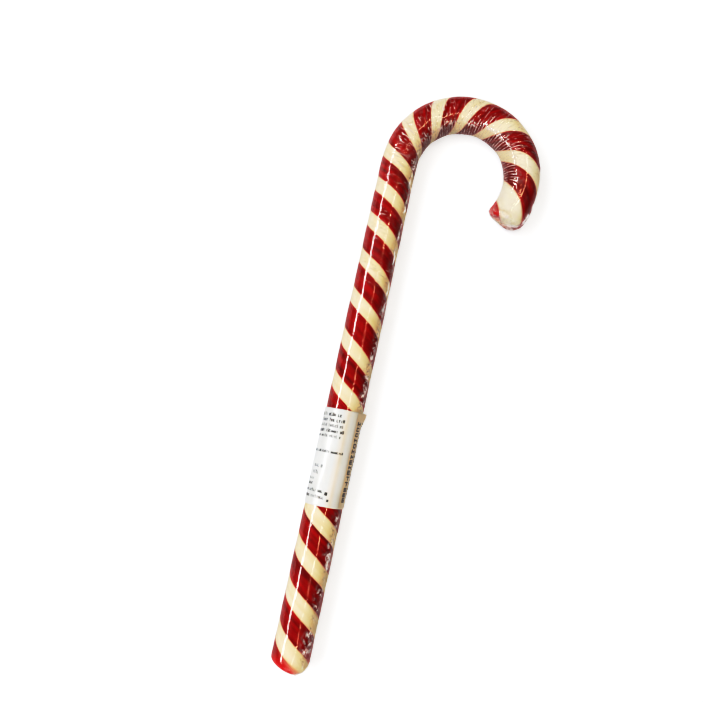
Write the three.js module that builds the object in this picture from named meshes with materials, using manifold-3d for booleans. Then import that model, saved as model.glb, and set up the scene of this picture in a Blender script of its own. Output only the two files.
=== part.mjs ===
// A striped candy cane in tight clear shrink wrap, with a paper label round its stem, lying on its side.
// Units are millimetres and +Z is up. The stem runs along +Y and the hook curls towards +X.
// The origin is the middle of the footprint, on the surface that the cane lies on.

import * as THREE from 'three';
import { mergeVertices } from 'three/addons/utils/BufferGeometryUtils.js';
import Module from 'manifold-3d';

const { degToRad, clamp, lerp, smoothstep } = THREE.MathUtils;

// Stick: a straight stem, a short ease into the bend and a round hook that opens a little at its tip.
// Its length is measured along the axis. A narrow flat runs along its underside.
const stickRadius = 7.0;
const stickLength = 288.5;
const stemLength = 185.3;
const bendEase = 17.4;
const hookRadius = 23.9;
const tipEase = 30;
const tipOpening = 0.35;
const undersideFlat = 0.15;
const axisHeight = stickRadius - undersideFlat;

// Red bands: two equal strips of sugar laid in helical grooves, winding left-handed.
// Each row gives a place along the stick, the distance to the next band there, and the red share of it.
const bandStations = [
  { at: 0, spacing: 16.1, redShare: 0.55 },
  { at: 60, spacing: 14.6, redShare: 0.56 },
  { at: 120, spacing: 16.4, redShare: 0.62 },
  { at: 165, spacing: 14.7, redShare: 0.57 },
  { at: 212, spacing: 12.6, redShare: 0.59 },
  { at: 250, spacing: 16.35, redShare: 0.58 },
  { at: stickLength, spacing: 20.4, redShare: 0.57 },
];
const firstBandOnTop = 16.0;
// Near the hook's tip the first band is cut short on its left side, so the cream between is wider.
const tipTrim = { band: 0, from: 258, to: 276, angle: 0.58 };
const bandDepth = 1.2;
const grooveGap = 0.3;
const bandFloorClearance = 0.1;

// Ends: cut obliquely and rounded, more on one edge than on the other. A cut falls back towards one
// angle round the stick, and starts at a distance from the axis that way.
const cutSoftness = 1.5;
const footEnd = {
  cuts: [{ towards: degToRad(-90), start: -2.9, slope: 0.34 }],
  roundLeft: 1.3,
  roundRight: 5.0,
};
const hookEnd = {
  cuts: [
    { towards: degToRad(-90), start: -5.0, slope: 0.36 },
    { towards: degToRad(140), start: 1.5, slope: 0.5 },
  ],
  roundLeft: 1.8,
  roundRight: 2.0,
};
const endBlend = 10;
const edgeRounds = [90, 60, 30, 0].map(degToRad);
const blendShares = [1 / 3, 2 / 3];
const faceMiddle = 0.5;

// Label: a strip of paper wrapped once round the stem, its outer edge lapped over the inner one.
const labelStart = 59.1;
const labelLength = 35.2;
const labelEnd = labelStart + labelLength;
const labelThickness = 0.2;
const labelGap = 0.2;
const labelRecess = 0.2;
const neckRamp = 0.8;
const labelOuterEdge = degToRad(45);
const labelLap = degToRad(25);
const labelRiseAngle = degToRad(9);
const labelStepAngle = degToRad(11);
const labelSeamMargin = degToRad(2);

// Film: where the shrink wrap stands off the stick, as a lapped seam along it and a pleated pucker
// at each end.
const seamWidth = 1.6;
const seamThickness = 0.25;
const filmGap = 0.2;
const seamStations = [
  { at: 0, angle: 40 },
  { at: 25, angle: 56 },
  { at: 60, angle: 63 },
  { at: 130, angle: 64 },
  { at: 175, angle: 57 },
  { at: 215, angle: 52 },
  { at: 243, angle: 45 },
  { at: 262, angle: 33 },
  { at: 275, angle: 10 },
  { at: stickLength, angle: 0 },
];
const seamReachOnFace = 0.6;
const puckerPleats = 9;
const puckerPleatHeight = 0.22;
const puckerKnotHeight = 0.9;
const puckerKnotReach = 0.55;
const puckerRings = [0.86, 0.6, 0.25];

// Mesh density.
const twistPerRing = degToRad(27);
const seamRingStep = 3.6;
const tableStep = 0.25;

const up = new THREE.Vector3(0, 0, 1);
const wasm = await Module();
wasm.setup();

// Reads a named value out of a list of stations, straight between its neighbours.
function readStations(stations, at, key) {
  let next = stations.findIndex((station) => station.at >= at);
  if (next === -1) next = stations.length - 1;
  if (next === 0) return stations[0][key];
  const before = stations[next - 1];
  const after = stations[next];
  const share = clamp((at - before.at) / (after.at - before.at), 0, 1);
  return lerp(before[key], after[key], share);
}

// Curvature rises smoothly from the straight stem to the round hook, and falls a little at the tip.
function curvatureAt(at) {
  const rise = smoothstep(at, stemLength, stemLength + bendEase);
  const fall = tipOpening * smoothstep(at, stickLength - tipEase, stickLength);
  return (rise * (1 - fall)) / hookRadius;
}

// The centreline and the turn of the bands, added up in short steps from the foot.
function traceStick() {
  const rows = [];
  const row = { x: 0, y: 0, heading: 0, turn: 0 };
  const count = Math.ceil(stickLength / tableStep);
  for (let index = 0; index <= count; index += 1) {
    rows.push({ ...row });
    const middle = (index + 0.5) * tableStep;
    const bend = curvatureAt(middle) * tableStep;
    row.x += Math.sin(row.heading + bend / 2) * tableStep;
    row.y += Math.cos(row.heading + bend / 2) * tableStep;
    row.heading += bend;
    row.turn += (Math.PI / readStations(bandStations, middle, 'spacing')) * tableStep;
  }
  return rows;
}

const stickTable = traceStick();

function tableAt(at) {
  const place = clamp(at, 0, stickLength) / tableStep;
  const index = Math.min(Math.floor(place), stickTable.length - 2);
  const share = place - index;
  const mix = (key) => lerp(stickTable[index][key], stickTable[index + 1][key], share);
  return { x: mix('x'), y: mix('y'), heading: mix('heading'), turn: mix('turn') };
}

// Position, direction and right-hand side of the centreline; it runs on straight past both ends.
function frameAt(at) {
  const row = tableAt(at);
  const along = new THREE.Vector3(Math.sin(row.heading), Math.cos(row.heading), 0);
  const right = new THREE.Vector3(along.y, -along.x, 0);
  const beyond = at - clamp(at, 0, stickLength);
  const position = new THREE.Vector3(row.x, row.y, axisHeight).addScaledVector(along, beyond);
  return { position, along, right };
}

// Angle of the first band's middle round the stick, from the top towards the right.
function bandAngle(at) {
  return tableAt(firstBandOnTop).turn - tableAt(at).turn;
}

// Angle from a band's middle to its border on one side: 1 is its right, -1 its left.
function borderAngle(at, band, side) {
  const half = (readStations(bandStations, at, 'redShare') * Math.PI) / 2;
  const trimmed = band === tipTrim.band && side === -1;
  return side * (half - Number(trimmed) * tipTrim.angle * smoothstep(at, tipTrim.from, tipTrim.to));
}

// The stick is a little slimmer under the label, so that the paper lies nearly flush.
function labelNeck(at) {
  const rise = smoothstep(at, labelStart - neckRamp, labelStart - labelGap);
  const fall = smoothstep(at, labelEnd + labelGap, labelEnd + neckRamp);
  return labelRecess * rise * (1 - fall);
}

function endRound(end, angle) {
  return lerp(end.roundLeft, end.roundRight, (1 + Math.sin(angle)) / 2);
}

// How far the oblique cuts fall back from the stick's end at an angle and a distance from the axis.
function endFallback(end, angle, out) {
  return end.cuts.reduce((total, cut) => {
    const past = out * Math.cos(angle - cut.towards) - cut.start;
    return total + (cut.slope * (past + Math.hypot(past, cutSoftness))) / 2;
  }, 0);
}

// A ring is a closed line round the stick. Its place may change with the angle, near the cut ends.
const bodyRing = (at) => ({ kind: 'body', at });
const edgeRing = (end, round) => ({ kind: 'edge', end, round });
const blendRing = (end, share) => ({ kind: 'blend', end, share });
const faceRing = (end, share) => ({ kind: 'face', end, share });

// Where a ring crosses one angle: its distance along the stick and its distance from the axis.
// Depth sinks the point into the stick and lift raises it off the skin.
function crossRing(ring, angle, depth, lift) {
  if (ring.kind === 'body') {
    return { at: ring.at, out: stickRadius - labelNeck(ring.at) - depth + lift };
  }
  const fillet = endRound(ring.end, angle);
  const round = ring.kind === 'edge' ? ring.round : 0;
  let out = stickRadius - fillet + (fillet + lift) * Math.cos(round) - depth;
  let inward = fillet - (fillet + lift) * Math.sin(round);
  if (ring.kind === 'face') {
    out = (stickRadius - fillet - depth) * ring.share;
    inward = -lift;
  }
  inward += endFallback(ring.end, angle, out);
  if (ring.kind === 'blend') inward = lerp(inward, endBlend, ring.share);
  return { at: ring.end === footEnd ? inward : stickLength - inward, out };
}

function pointAt(ring, angle, depth, lift) {
  const { at, out } = crossRing(ring, angle, depth, lift);
  const { position, right } = frameAt(at);
  return position.addScaledVector(right, out * Math.sin(angle)).addScaledVector(up, out * Math.cos(angle));
}

// A point that keeps its place in the twist: its angle follows the bands as far as the ring carries it.
function twistedPoint(ring, place, depth) {
  const settleRounds = 60;
  let angle = 0;
  for (let round = 0; round < settleRounds; round += 1) {
    const { at } = crossRing(ring, angle, depth, 0);
    const target = bandAngle(at) + place(at);
    angle += (target - angle) / 2;
  }
  return pointAt(ring, angle, depth, 0);
}

// Rings of one end, from the middle of the cut face out to the plain stick.
function endRings(end, faceShares) {
  const rounds = edgeRounds.map((round) => edgeRing(end, round));
  const blends = blendShares.map((share) => blendRing(end, share));
  return [...faceShares.map((share) => faceRing(end, share)), ...rounds, ...blends];
}

// Plain rings at a row of places along the stick, with two more at each edge of the label.
function ringsAt(places) {
  const edges = [
    labelStart - neckRamp,
    labelStart - labelGap,
    labelEnd + labelGap,
    labelEnd + neckRamp,
  ];
  const clear = places.filter((place) => edges.every((edge) => Math.abs(edge - place) > neckRamp));
  return [...clear, ...edges].sort((one, other) => one - other).map(bodyRing);
}

// Plain rings between the ends, one for each equal step of the twist.
function twistRings() {
  const places = [];
  const last = stickLength - endBlend;
  const from = tableAt(endBlend).turn;
  const turned = tableAt(last).turn - from;
  const count = Math.round(turned / twistPerRing);
  let at = endBlend;
  for (let index = 0; index <= count; index += 1) {
    const turn = from + (turned * index) / count;
    while (tableAt(at).turn < turn && at < last) at += tableStep / 2;
    places.push(at);
  }
  return ringsAt(places);
}

// Plain rings between the ends, evenly spaced.
function evenRings(step) {
  const length = stickLength - 2 * endBlend;
  const count = Math.ceil(length / step);
  return ringsAt(Array.from({ length: count + 1 }, (_, index) => endBlend + (length * index) / count));
}

function geometryFrom(points, triangles) {
  const geometry = new THREE.BufferGeometry();
  const positions = points.flatMap((point) => [point.x, point.y, point.z]);
  geometry.setAttribute('position', new THREE.Float32BufferAttribute(positions, 3));
  geometry.setIndex(triangles.flat());
  return geometry;
}

// Skins a row of rings with equal numbers of points. A column of quads may be split the other way.
function skinRings(rings, crossed = () => false) {
  const size = rings[0].length;
  const triangles = [];
  for (let row = 0; row + 1 < rings.length; row += 1) {
    for (let column = 0; column < size; column += 1) {
      const near = row * size + column;
      const nearNext = row * size + ((column + 1) % size);
      const far = near + size;
      const farNext = nearNext + size;
      if (crossed(column)) {
        triangles.push([near, nearNext, far], [nearNext, farNext, far]);
      } else {
        triangles.push([near, nearNext, farNext], [near, farNext, far]);
      }
    }
  }
  return triangles;
}

// Tells which columns of a twisted section to cross, so that every facet follows the twist and the
// walls of a band and its groove are split alike.
function crossedColumns(section) {
  return (column) => {
    const here = section[column];
    const next = section[(column + 1) % section.length];
    if (here.depth !== next.depth) return here.depth > next.depth;
    return next.place(0) < here.place(0);
  };
}

function midpoint(points) {
  const sum = points.reduce((total, point) => total.add(point), new THREE.Vector3());
  return sum.divideScalar(points.length);
}

// Closes both ends of a skin with a fan from the middle of the first and the last ring.
function fanEnds(rings, triangles) {
  const size = rings[0].length;
  const points = rings.flat();
  const first = points.push(midpoint(rings[0])) - 1;
  const last = points.push(midpoint(rings[rings.length - 1])) - 1;
  const lastRow = (rings.length - 1) * size;
  for (let column = 0; column < size; column += 1) {
    const next = (column + 1) % size;
    triangles.push([first, next, column], [last, lastRow + column, lastRow + next]);
  }
  return points;
}

// Closes both ends of a curved strip, whose ring runs out along its face and back along its underside.
function stripEnds(rings, triangles) {
  const size = rings[0].length;
  const lastRow = (rings.length - 1) * size;
  for (let column = 0; column + 1 < size / 2; column += 1) {
    const under = size - 1 - column;
    triangles.push([column, under, under - 1], [column, under - 1, column + 1]);
    triangles.push([lastRow + column, lastRow + under - 1, lastRow + under]);
    triangles.push([lastRow + column, lastRow + column + 1, lastRow + under - 1]);
  }
  return rings.flat();
}

function toSolid(geometry) {
  const bare = geometry.clone();
  bare.deleteAttribute('normal');
  bare.deleteAttribute('uv');
  const merged = mergeVertices(bare, 1e-5);
  const vertProperties = new Float32Array(merged.getAttribute('position').array);
  const triVerts = new Uint32Array(merged.getIndex().array);
  return new wasm.Manifold(new wasm.Mesh({ numProp: 3, vertProperties, triVerts }));
}

function fromSolid(solid) {
  const { vertProperties, triVerts } = solid.getMesh();
  const geometry = new THREE.BufferGeometry();
  geometry.setAttribute('position', new THREE.BufferAttribute(new Float32Array(vertProperties), 3));
  geometry.setIndex(new THREE.BufferAttribute(new Uint32Array(triVerts), 1));
  return geometry;
}

// A block that takes away everything below one height, over a stretch of Y.
function floorBlock(height, fromY, toY) {
  const reach = stickLength;
  const block = new THREE.BoxGeometry(reach, toY - fromY, reach);
  block.translate(0, (fromY + toY) / 2, height - reach / 2);
  return toSolid(block);
}

// Cuts the underside of a piece flat, and higher under the label, which lies on the surface itself.
function cutUnderside(geometry, clearance) {
  const whole = floorBlock(clearance, -stickLength, stickLength);
  const underLabel = labelThickness + labelGap + clearance;
  const raised = floorBlock(underLabel, labelStart - labelGap, labelEnd + labelGap);
  return fromSolid(toSolid(geometry).subtract(whole).subtract(raised));
}

// The cream stick, with a helical groove for each red band and its underside cut flat.
function candyStick() {
  const floorPoints = 5;
  const creamPoints = 4;
  const halfGap = grooveGap / stickRadius / 2;
  const wall = (at, band, side) => band * Math.PI + borderAngle(at, band % 2, side) + side * halfGap;
  const section = [];
  for (const band of [0, 1]) {
    for (let index = 0; index < floorPoints; index += 1) {
      const share = index / (floorPoints - 1);
      const place = (at) => lerp(wall(at, band, -1), wall(at, band, 1), share);
      section.push({ place, depth: bandDepth + grooveGap });
    }
    for (let index = 0; index < creamPoints; index += 1) {
      const share = index / (creamPoints - 1);
      section.push({ place: (at) => lerp(wall(at, band, 1), wall(at, band + 1, -1), share), depth: 0 });
    }
  }
  const foot = endRings(footEnd, [faceMiddle]);
  const hook = endRings(hookEnd, [faceMiddle]).reverse();
  const rings = [...foot, ...twistRings(), ...hook];
  const loops = rings.map((ring) => section.map(({ place, depth }) => {
    const sunk = ring.kind === 'face' ? depth * ring.share : depth;
    return twistedPoint(ring, place, sunk);
  }));
  const triangles = skinRings(loops, crossedColumns(section));
  const points = fanEnds(loops, triangles);
  return cutUnderside(geometryFrom(points, triangles), 0);
}

// One red band, lying in its groove from one cut face to the other.
function redBand(band) {
  const facePoints = 5;
  const halfGap = grooveGap / stickRadius / 2;
  const border = (at, side) => band * Math.PI + borderAngle(at, band, side) - side * halfGap;
  const section = [];
  for (const side of [1, -1]) {
    for (let index = 0; index < facePoints; index += 1) {
      const share = index / (facePoints - 1);
      const place = (at) => lerp(border(at, -side), border(at, side), share);
      section.push({ place, depth: side === 1 ? 0 : bandDepth });
    }
  }
  const rings = [...endRings(footEnd, []), ...twistRings(), ...endRings(hookEnd, []).reverse()];
  const loops = rings.map((ring) => section.map(({ place, depth }) => twistedPoint(ring, place, depth)));
  const triangles = skinRings(loops, crossedColumns(section));
  const points = stripEnds(loops, triangles);
  return cutUnderside(geometryFrom(points, triangles), bandFloorClearance);
}

// The label's section is a spiral: it starts under its own lap, climbs over the seam, goes once round
// and ends on top of where it began. Its underside lies flat on the surface that carries the cane.
function labelSection() {
  const innerRadius = stickRadius - labelRecess + labelGap;
  const seamAngle = degToRad(readStations(seamStations, labelStart + labelLength / 2, 'angle'));
  const seamHalf = seamWidth / stickRadius / 2 + labelSeamMargin;
  const seamLift = seamThickness + filmGap;
  const lapLift = labelThickness + labelGap;
  const first = labelOuterEdge - labelLap;
  const last = labelOuterEdge + 2 * Math.PI;
  const liftAt = (angle) => {
    const offSeam = Math.abs(angle - seamAngle) - seamHalf;
    const lapStart = first + 2 * Math.PI - labelRiseAngle;
    return seamLift * (1 - smoothstep(offSeam, 0, labelRiseAngle))
      + lapLift * smoothstep(angle, lapStart - labelRiseAngle, lapStart);
  };
  const steps = Math.ceil((last - first) / labelStepAngle);
  const angles = Array.from({ length: steps + 1 }, (_, index) => lerp(first, last, index / steps));
  const side = (raise) => angles.map((angle) => {
    const out = innerRadius + liftAt(angle) + raise;
    const lowest = labelThickness - raise - axisHeight;
    return new THREE.Vector2(out * Math.sin(angle), Math.max(out * Math.cos(angle), lowest));
  });
  return [...side(labelThickness), ...side(0).reverse()];
}

function paperLabel() {
  const outline = new THREE.Shape(labelSection());
  const geometry = new THREE.ExtrudeGeometry(outline, { depth: labelLength, bevelEnabled: false });
  geometry.rotateX(Math.PI / 2);
  geometry.translate(0, labelEnd, axisHeight);
  return fromSolid(toSolid(geometry));
}

// The film's seam: a thin lapped strip that follows its own line along the stick and over both cut edges.
function filmSeam() {
  const foot = endRings(footEnd, [seamReachOnFace]);
  const hook = endRings(hookEnd, [seamReachOnFace]).reverse();
  const loops = [...foot, ...evenRings(seamRingStep), ...hook].map((ring) => {
    const at = ring.kind === 'body' ? ring.at : Number(ring.end === hookEnd) * stickLength;
    const angle = degToRad(readStations(seamStations, at, 'angle'));
    const half = seamWidth / stickRadius / 2;
    const low = filmGap;
    const high = filmGap + seamThickness;
    return [
      pointAt(ring, angle - half, 0, high),
      pointAt(ring, angle + half, 0, high),
      pointAt(ring, angle + half, 0, low),
      pointAt(ring, angle - half, 0, low),
    ];
  });
  const triangles = skinRings(loops);
  return toSolid(geometryFrom(stripEnds(loops, triangles), triangles));
}

// The film's pucker over one cut face: a thin disc in radial pleats that rise to a small knot.
function filmPucker(end) {
  const spokes = puckerPleats * 2;
  const heightAt = (share, spoke) => {
    const pleat = spoke % 2 === 0 ? puckerPleatHeight : 0;
    const knot = puckerKnotHeight * (1 - smoothstep(share, 0, puckerKnotReach));
    return filmGap + seamThickness + pleat + knot;
  };
  const loop = (share, liftOf) => Array.from({ length: spokes }, (_, spoke) => {
    const angle = (2 * Math.PI * spoke) / spokes;
    return pointAt(faceRing(end, share), angle, 0, liftOf(share, spoke));
  });
  const under = [...puckerRings].reverse().map((share) => loop(share, () => filmGap));
  const over = puckerRings.map((share) => loop(share, heightAt));
  const loops = [...under, ...over];
  if (end === footEnd) loops.reverse();
  const triangles = skinRings(loops);
  return toSolid(geometryFrom(fanEnds(loops, triangles), triangles));
}

function filmWrap() {
  return fromSolid(filmSeam().add(filmPucker(footEnd)).add(filmPucker(hookEnd)));
}

const candyCream = new THREE.MeshStandardMaterial({ color: '#ece2bf', roughness: 0.28, metalness: 0 });
const candyRed = new THREE.MeshStandardMaterial({ color: '#a00810', roughness: 0.22, metalness: 0 });
const labelPaper = new THREE.MeshStandardMaterial({ color: '#f1efec', roughness: 0.6, metalness: 0 });
const clearFilm = new THREE.MeshStandardMaterial({ color: '#f4f0ee', roughness: 0.12, metalness: 0 });

function namedMesh(name, geometry, material) {
  const mesh = new THREE.Mesh(geometry, material);
  mesh.name = name;
  return mesh;
}

const cane = new THREE.Group();
cane.add(namedMesh('candy_stick', candyStick(), candyCream));
cane.add(namedMesh('red_stripe_1', redBand(0), candyRed));
cane.add(namedMesh('red_stripe_2', redBand(1), candyRed.clone()));
cane.add(namedMesh('label', paperLabel(), labelPaper));
cane.add(namedMesh('film_wrap', filmWrap(), clearFilm));

// Centre the footprint on the origin.
const footprint = new THREE.Box3().setFromObject(cane).getCenter(new THREE.Vector3());
cane.position.set(-footprint.x, -footprint.y, 0);

export default cane;
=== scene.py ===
import math

import bpy
import numpy as np
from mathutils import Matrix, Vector


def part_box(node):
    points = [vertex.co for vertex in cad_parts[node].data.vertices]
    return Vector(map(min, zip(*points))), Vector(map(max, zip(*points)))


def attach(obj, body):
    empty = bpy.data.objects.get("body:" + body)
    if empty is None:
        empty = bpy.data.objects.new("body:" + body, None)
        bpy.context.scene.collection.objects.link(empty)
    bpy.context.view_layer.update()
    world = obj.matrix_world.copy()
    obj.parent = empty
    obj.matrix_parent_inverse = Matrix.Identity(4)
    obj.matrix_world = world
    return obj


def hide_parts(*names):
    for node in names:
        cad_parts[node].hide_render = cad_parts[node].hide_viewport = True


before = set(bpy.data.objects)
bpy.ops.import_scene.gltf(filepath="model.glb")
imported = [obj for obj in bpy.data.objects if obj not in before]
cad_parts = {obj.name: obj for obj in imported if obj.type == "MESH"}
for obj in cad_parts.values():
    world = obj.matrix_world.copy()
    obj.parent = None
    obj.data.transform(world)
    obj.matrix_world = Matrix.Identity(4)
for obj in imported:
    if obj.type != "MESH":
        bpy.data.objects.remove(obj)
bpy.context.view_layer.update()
print("frame loaded")

mm = 0.001
up = np.array((0.0, 0.0, 1.0))

# the stick's own shape in millimetres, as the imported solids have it
stick = {
    "radius": 7.0,
    "length": 288.5,
    "stem": 185.3,
    "bendEase": 17.4,
    "hookRadius": 23.9,
    "tipEase": 30.0,
    "tipOpening": 0.35,
    "axisHeight": 6.85,
    "tableStep": 0.1,
}
bands = {
    "at": (0.0, 60.0, 120.0, 165.0, 212.0, 250.0, 288.5),
    "spacing": (16.1, 14.6, 16.4, 14.7, 12.6, 16.35, 20.4),
    "redShare": (0.55, 0.56, 0.62, 0.57, 0.59, 0.58, 0.57),
    "firstOnTop": 16.0,
    "tipTrim": (258.0, 276.0, 0.58),  # near the tip the first band gives way on its left
    "borderWobble": 0.03,  # radians, how far the hand-laid borders stray
}
# each cut falls back towards one angle, from a distance off the axis, at a slope
footEnd = {"cuts": ((-90, -2.9, 0.34),), "roundLeft": 1.3, "roundRight": 5.0}
hookEnd = {"cuts": ((-90, -5.0, 0.36), (140, 1.5, 0.5)), "roundLeft": 1.8, "roundRight": 2.0}
cutSoftness = 1.5
endBlend = 10.0


def smooth(value, low, high):
    share = np.clip((value - low) / (high - low), 0, 1)
    return share * share * (3 - 2 * share)


def hill(distance, width):
    # 1 in the middle, fading away over about its width on either side
    return np.exp(-((distance / width) ** 2))


def atLeast(least, share):
    # squeezes a share from 0 to 1 into the least to 1
    return least + (1 - least) * share


def nearFoot(at, span):
    # span in mm from the foot
    return 1 - smooth(at, *span)


def nearTip(at, span):
    # span in mm back from the hook's end
    return smooth(at - stick["length"], -span[0], -span[1])


def pastBend(at, span):
    # span in mm on from where the stem ends
    return smooth(at - stick["stem"], *span)


def angleFrom(angle, middle):
    return (angle - middle + math.pi) % (2 * math.pi) - math.pi


def withinSide(angle, side):
    # 1 on one side of the stick; side is its middle and where it begins and ends to fade
    middle, near, far = side
    return 1 - smooth(np.abs(angleFrom(angle, middle)), near, far)


def softNoise(seed, along, around, cellsAround):
    # smooth random hills between -1 and 1; repeats round the stick after cellsAround cells
    table = np.random.default_rng(seed).uniform(-1, 1, (512, cellsAround))
    lowA = np.floor(along).astype(int)
    lowB = np.floor(around).astype(int)
    fracA = along - lowA
    fracB = around - lowB
    fracA = fracA * fracA * (3 - 2 * fracA)
    fracB = fracB * fracB * (3 - 2 * fracB)
    pick = lambda da, db: table[(lowA + da) % 512, (lowB + db) % cellsAround]
    low = pick(0, 0) * (1 - fracB) + pick(0, 1) * fracB
    high = pick(1, 0) * (1 - fracB) + pick(1, 1) * fracB
    return low * (1 - fracA) + high * fracA


def waver(seed, at, pitch):
    # random sway along the stick, the same all round it
    return softNoise(seed, at / pitch, at * 0, 4)


def patchwork(seed, at, angle, pitch, cellsAround):
    # random hills over the stick's skin, each about one pitch long
    return softNoise(seed, at / pitch, angle / (2 * math.pi) * cellsAround, cellsAround)


def traceStick():
    step = stick["tableStep"]
    at = np.arange(0, stick["length"] + step, step)
    middle = at[:-1] + step / 2
    rise = smooth(middle, stick["stem"], stick["stem"] + stick["bendEase"])
    fall = stick["tipOpening"] * smooth(middle, stick["length"] - stick["tipEase"], stick["length"])
    bend = rise * (1 - fall) / stick["hookRadius"] * step
    heading = np.concatenate(([0], np.cumsum(bend)))
    middleHeading = heading[:-1] + bend / 2
    x = np.concatenate(([0], np.cumsum(np.sin(middleHeading) * step)))
    y = np.concatenate(([0], np.cumsum(np.cos(middleHeading) * step)))
    spacing = np.interp(middle, bands["at"], bands["spacing"])
    turn = np.concatenate(([0], np.cumsum(math.pi * step / spacing)))
    return {"at": at, "x": x, "y": y, "heading": heading, "turn": turn}


axisTable = traceStick()
stickLow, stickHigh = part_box("candy_stick")
axisX = stickLow[0] / mm + stick["radius"]
footY = stickHigh[1] / mm - stick["radius"] - axisTable["y"].max()


def axisAt(at):
    # place and right-hand side of the axis, which runs straight on past both ends
    held = np.clip(at, 0, stick["length"])
    heading = np.interp(held, axisTable["at"], axisTable["heading"])
    along = np.stack((np.sin(heading), np.cos(heading), heading * 0), -1)
    right = np.stack((along[..., 1], -along[..., 0], heading * 0), -1)
    x = axisX + np.interp(held, axisTable["at"], axisTable["x"])
    y = footY + np.interp(held, axisTable["at"], axisTable["y"])
    place = np.stack((x, y, heading * 0 + stick["axisHeight"]), -1)
    return place + along * (at - held)[..., None], right


def bandAngle(at):
    held = np.clip(at, 0, stick["length"])
    first = np.interp(bands["firstOnTop"], axisTable["at"], axisTable["turn"])
    return first - np.interp(held, axisTable["at"], axisTable["turn"])


def plainHalf(at):
    return np.interp(at, bands["at"], bands["redShare"]) * math.pi / 2


def redHalf(at, base, side):
    # half the angle that a red band covers, towards one of its borders
    seed = 11 + 2 * int(base > 1) + int(side > 0)
    wobble = waver(seed, at, 5.5) + 0.5 * waver(seed + 7, at, 1.7)
    half = plainHalf(at) + bands["borderWobble"] * wobble
    if base < 1 and side < 0:
        trimFrom, trimTo, trim = bands["tipTrim"]
        half = half - trim * smooth(at, trimFrom, trimTo)
    return half


def crossRow(row, angle, depth, lift):
    # where a row of points crosses an angle: distance along the stick, and out from the axis
    kind, value, end = row
    if kind == "body":
        return angle * 0 + value, stick["radius"] - depth + lift
    fillet = end["roundLeft"] + (end["roundRight"] - end["roundLeft"]) * (1 + np.sin(angle)) / 2
    bend = value if kind == "edge" else 0.0
    out = stick["radius"] - fillet + (fillet + lift) * math.cos(bend) - depth
    inward = fillet - (fillet + lift) * math.sin(bend)
    if kind == "face":
        out = (stick["radius"] - fillet - depth) * value
        inward = -lift
    for towards, start, slope in end["cuts"]:
        past = out * np.cos(angle - math.radians(towards)) - start
        inward = inward + slope * (past + np.hypot(past, cutSoftness)) / 2
    if kind == "blend":
        inward = inward + (endBlend - inward) * value
    return (inward if end is footEnd else stick["length"] - inward), out


def pointsOn(at, angle, out, floorGap):
    place, right = axisAt(at)
    points = place + right * (out * np.sin(angle))[..., None] + up * (out * np.cos(angle))[..., None]
    points[..., 2] = np.maximum(points[..., 2], floorGap)
    return points * mm


def endRows(end, faceShares, edgeSteps, blendSteps):
    rows = [("face", share, end) for share in faceShares]
    rows += [("edge", math.pi / 2 * (1 - step / edgeSteps), end) for step in range(edgeSteps + 1)]
    return rows + [("blend", step / blendSteps, end) for step in range(1, blendSteps)]


def bodyRows(stemStep, hookStep):
    low, high = endBlend, stick["length"] - endBlend
    bend = stick["stem"] - 6  # the closer rows begin a little before the bend
    stemRows = np.linspace(low, bend, int((bend - low) / stemStep) + 1)
    hookRows = np.linspace(bend, high, int((high - bend) / hookStep) + 1)[1:]
    return [("body", at, None) for at in np.concatenate((stemRows, hookRows))]


def makeMesh(name, points, faces, material):
    mesh = bpy.data.meshes.new(name)
    mesh.from_pydata(np.asarray(points).reshape(-1, 3).tolist(), [], faces)
    mesh.validate()
    for polygon in mesh.polygons:
        polygon.use_smooth = True
    piece = bpy.data.objects.new(name, mesh)
    bpy.context.scene.collection.objects.link(piece)
    piece.data.materials.append(material)
    return piece


def gridFaces(rows, columns):
    faces = []
    for row in range(rows - 1):
        low = row * columns
        for column in range(columns):
            after = (column + 1) % columns
            faces.append((low + column, low + after, low + columns + after, low + columns + column))
    return faces


def fanFaces(ring, middle, flip):
    faces = []
    for column, corner in enumerate(ring):
        after = ring[(column + 1) % len(ring)]
        faces.append((middle, after, corner) if flip else (middle, corner, after))
    return faces


def closedGrid(loops):
    # skins the loops and closes both ends with a fan
    rows, columns = len(loops), len(loops[0])
    points = np.concatenate(loops)
    middles = [loops[0].mean(0), loops[-1].mean(0)]
    faces = gridFaces(rows, columns)
    faces += fanFaces(list(range(columns)), rows * columns, True)
    faces += fanFaces(list(range((rows - 1) * columns, rows * columns)), rows * columns + 1, False)
    return np.concatenate((points, middles)), faces


def endCaps(rows, columns):
    # closes both ends of a flat strip whose loops run over its top and back underneath
    faces = []
    last = (rows - 1) * columns
    for column in range(columns // 2 - 1):
        under = columns - 1 - column
        faces.append((column, under, under - 1, column + 1))
        faces.append((last + column, last + column + 1, last + under - 1, last + under))
    return faces


def addNumbers(piece, name, values, kind="FLOAT"):
    # keeps a value on every point, for the piece's own material to read
    layer = piece.data.attributes.new(name, kind, "POINT")
    field = "value" if kind == "FLOAT" else "vector"
    layer.data.foreach_set(field, np.asarray(values, dtype=np.float32).ravel())


def newMaterial(name):
    material = bpy.data.materials.new(name)
    material.use_nodes = True
    material.node_tree.nodes.clear()
    return material, material.node_tree


def setSockets(node, **values):
    for name, value in values.items():
        node.inputs[name.replace("_", " ")].default_value = value


def feed(tree, source, node, socket):
    # source is another node's output, or a value of its own
    if isinstance(source, bpy.types.NodeSocket):
        tree.links.new(source, node.inputs[socket])
    else:
        node.inputs[socket].default_value = source


def finishSurface(tree, surface):
    feed(tree, surface, tree.nodes.new("ShaderNodeOutputMaterial"), "Surface")


def stored(tree, name, field="Fac"):
    # a value that addNumbers kept on the piece
    node = tree.nodes.new("ShaderNodeAttribute")
    node.attribute_name = name
    return node.outputs[field]


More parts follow.
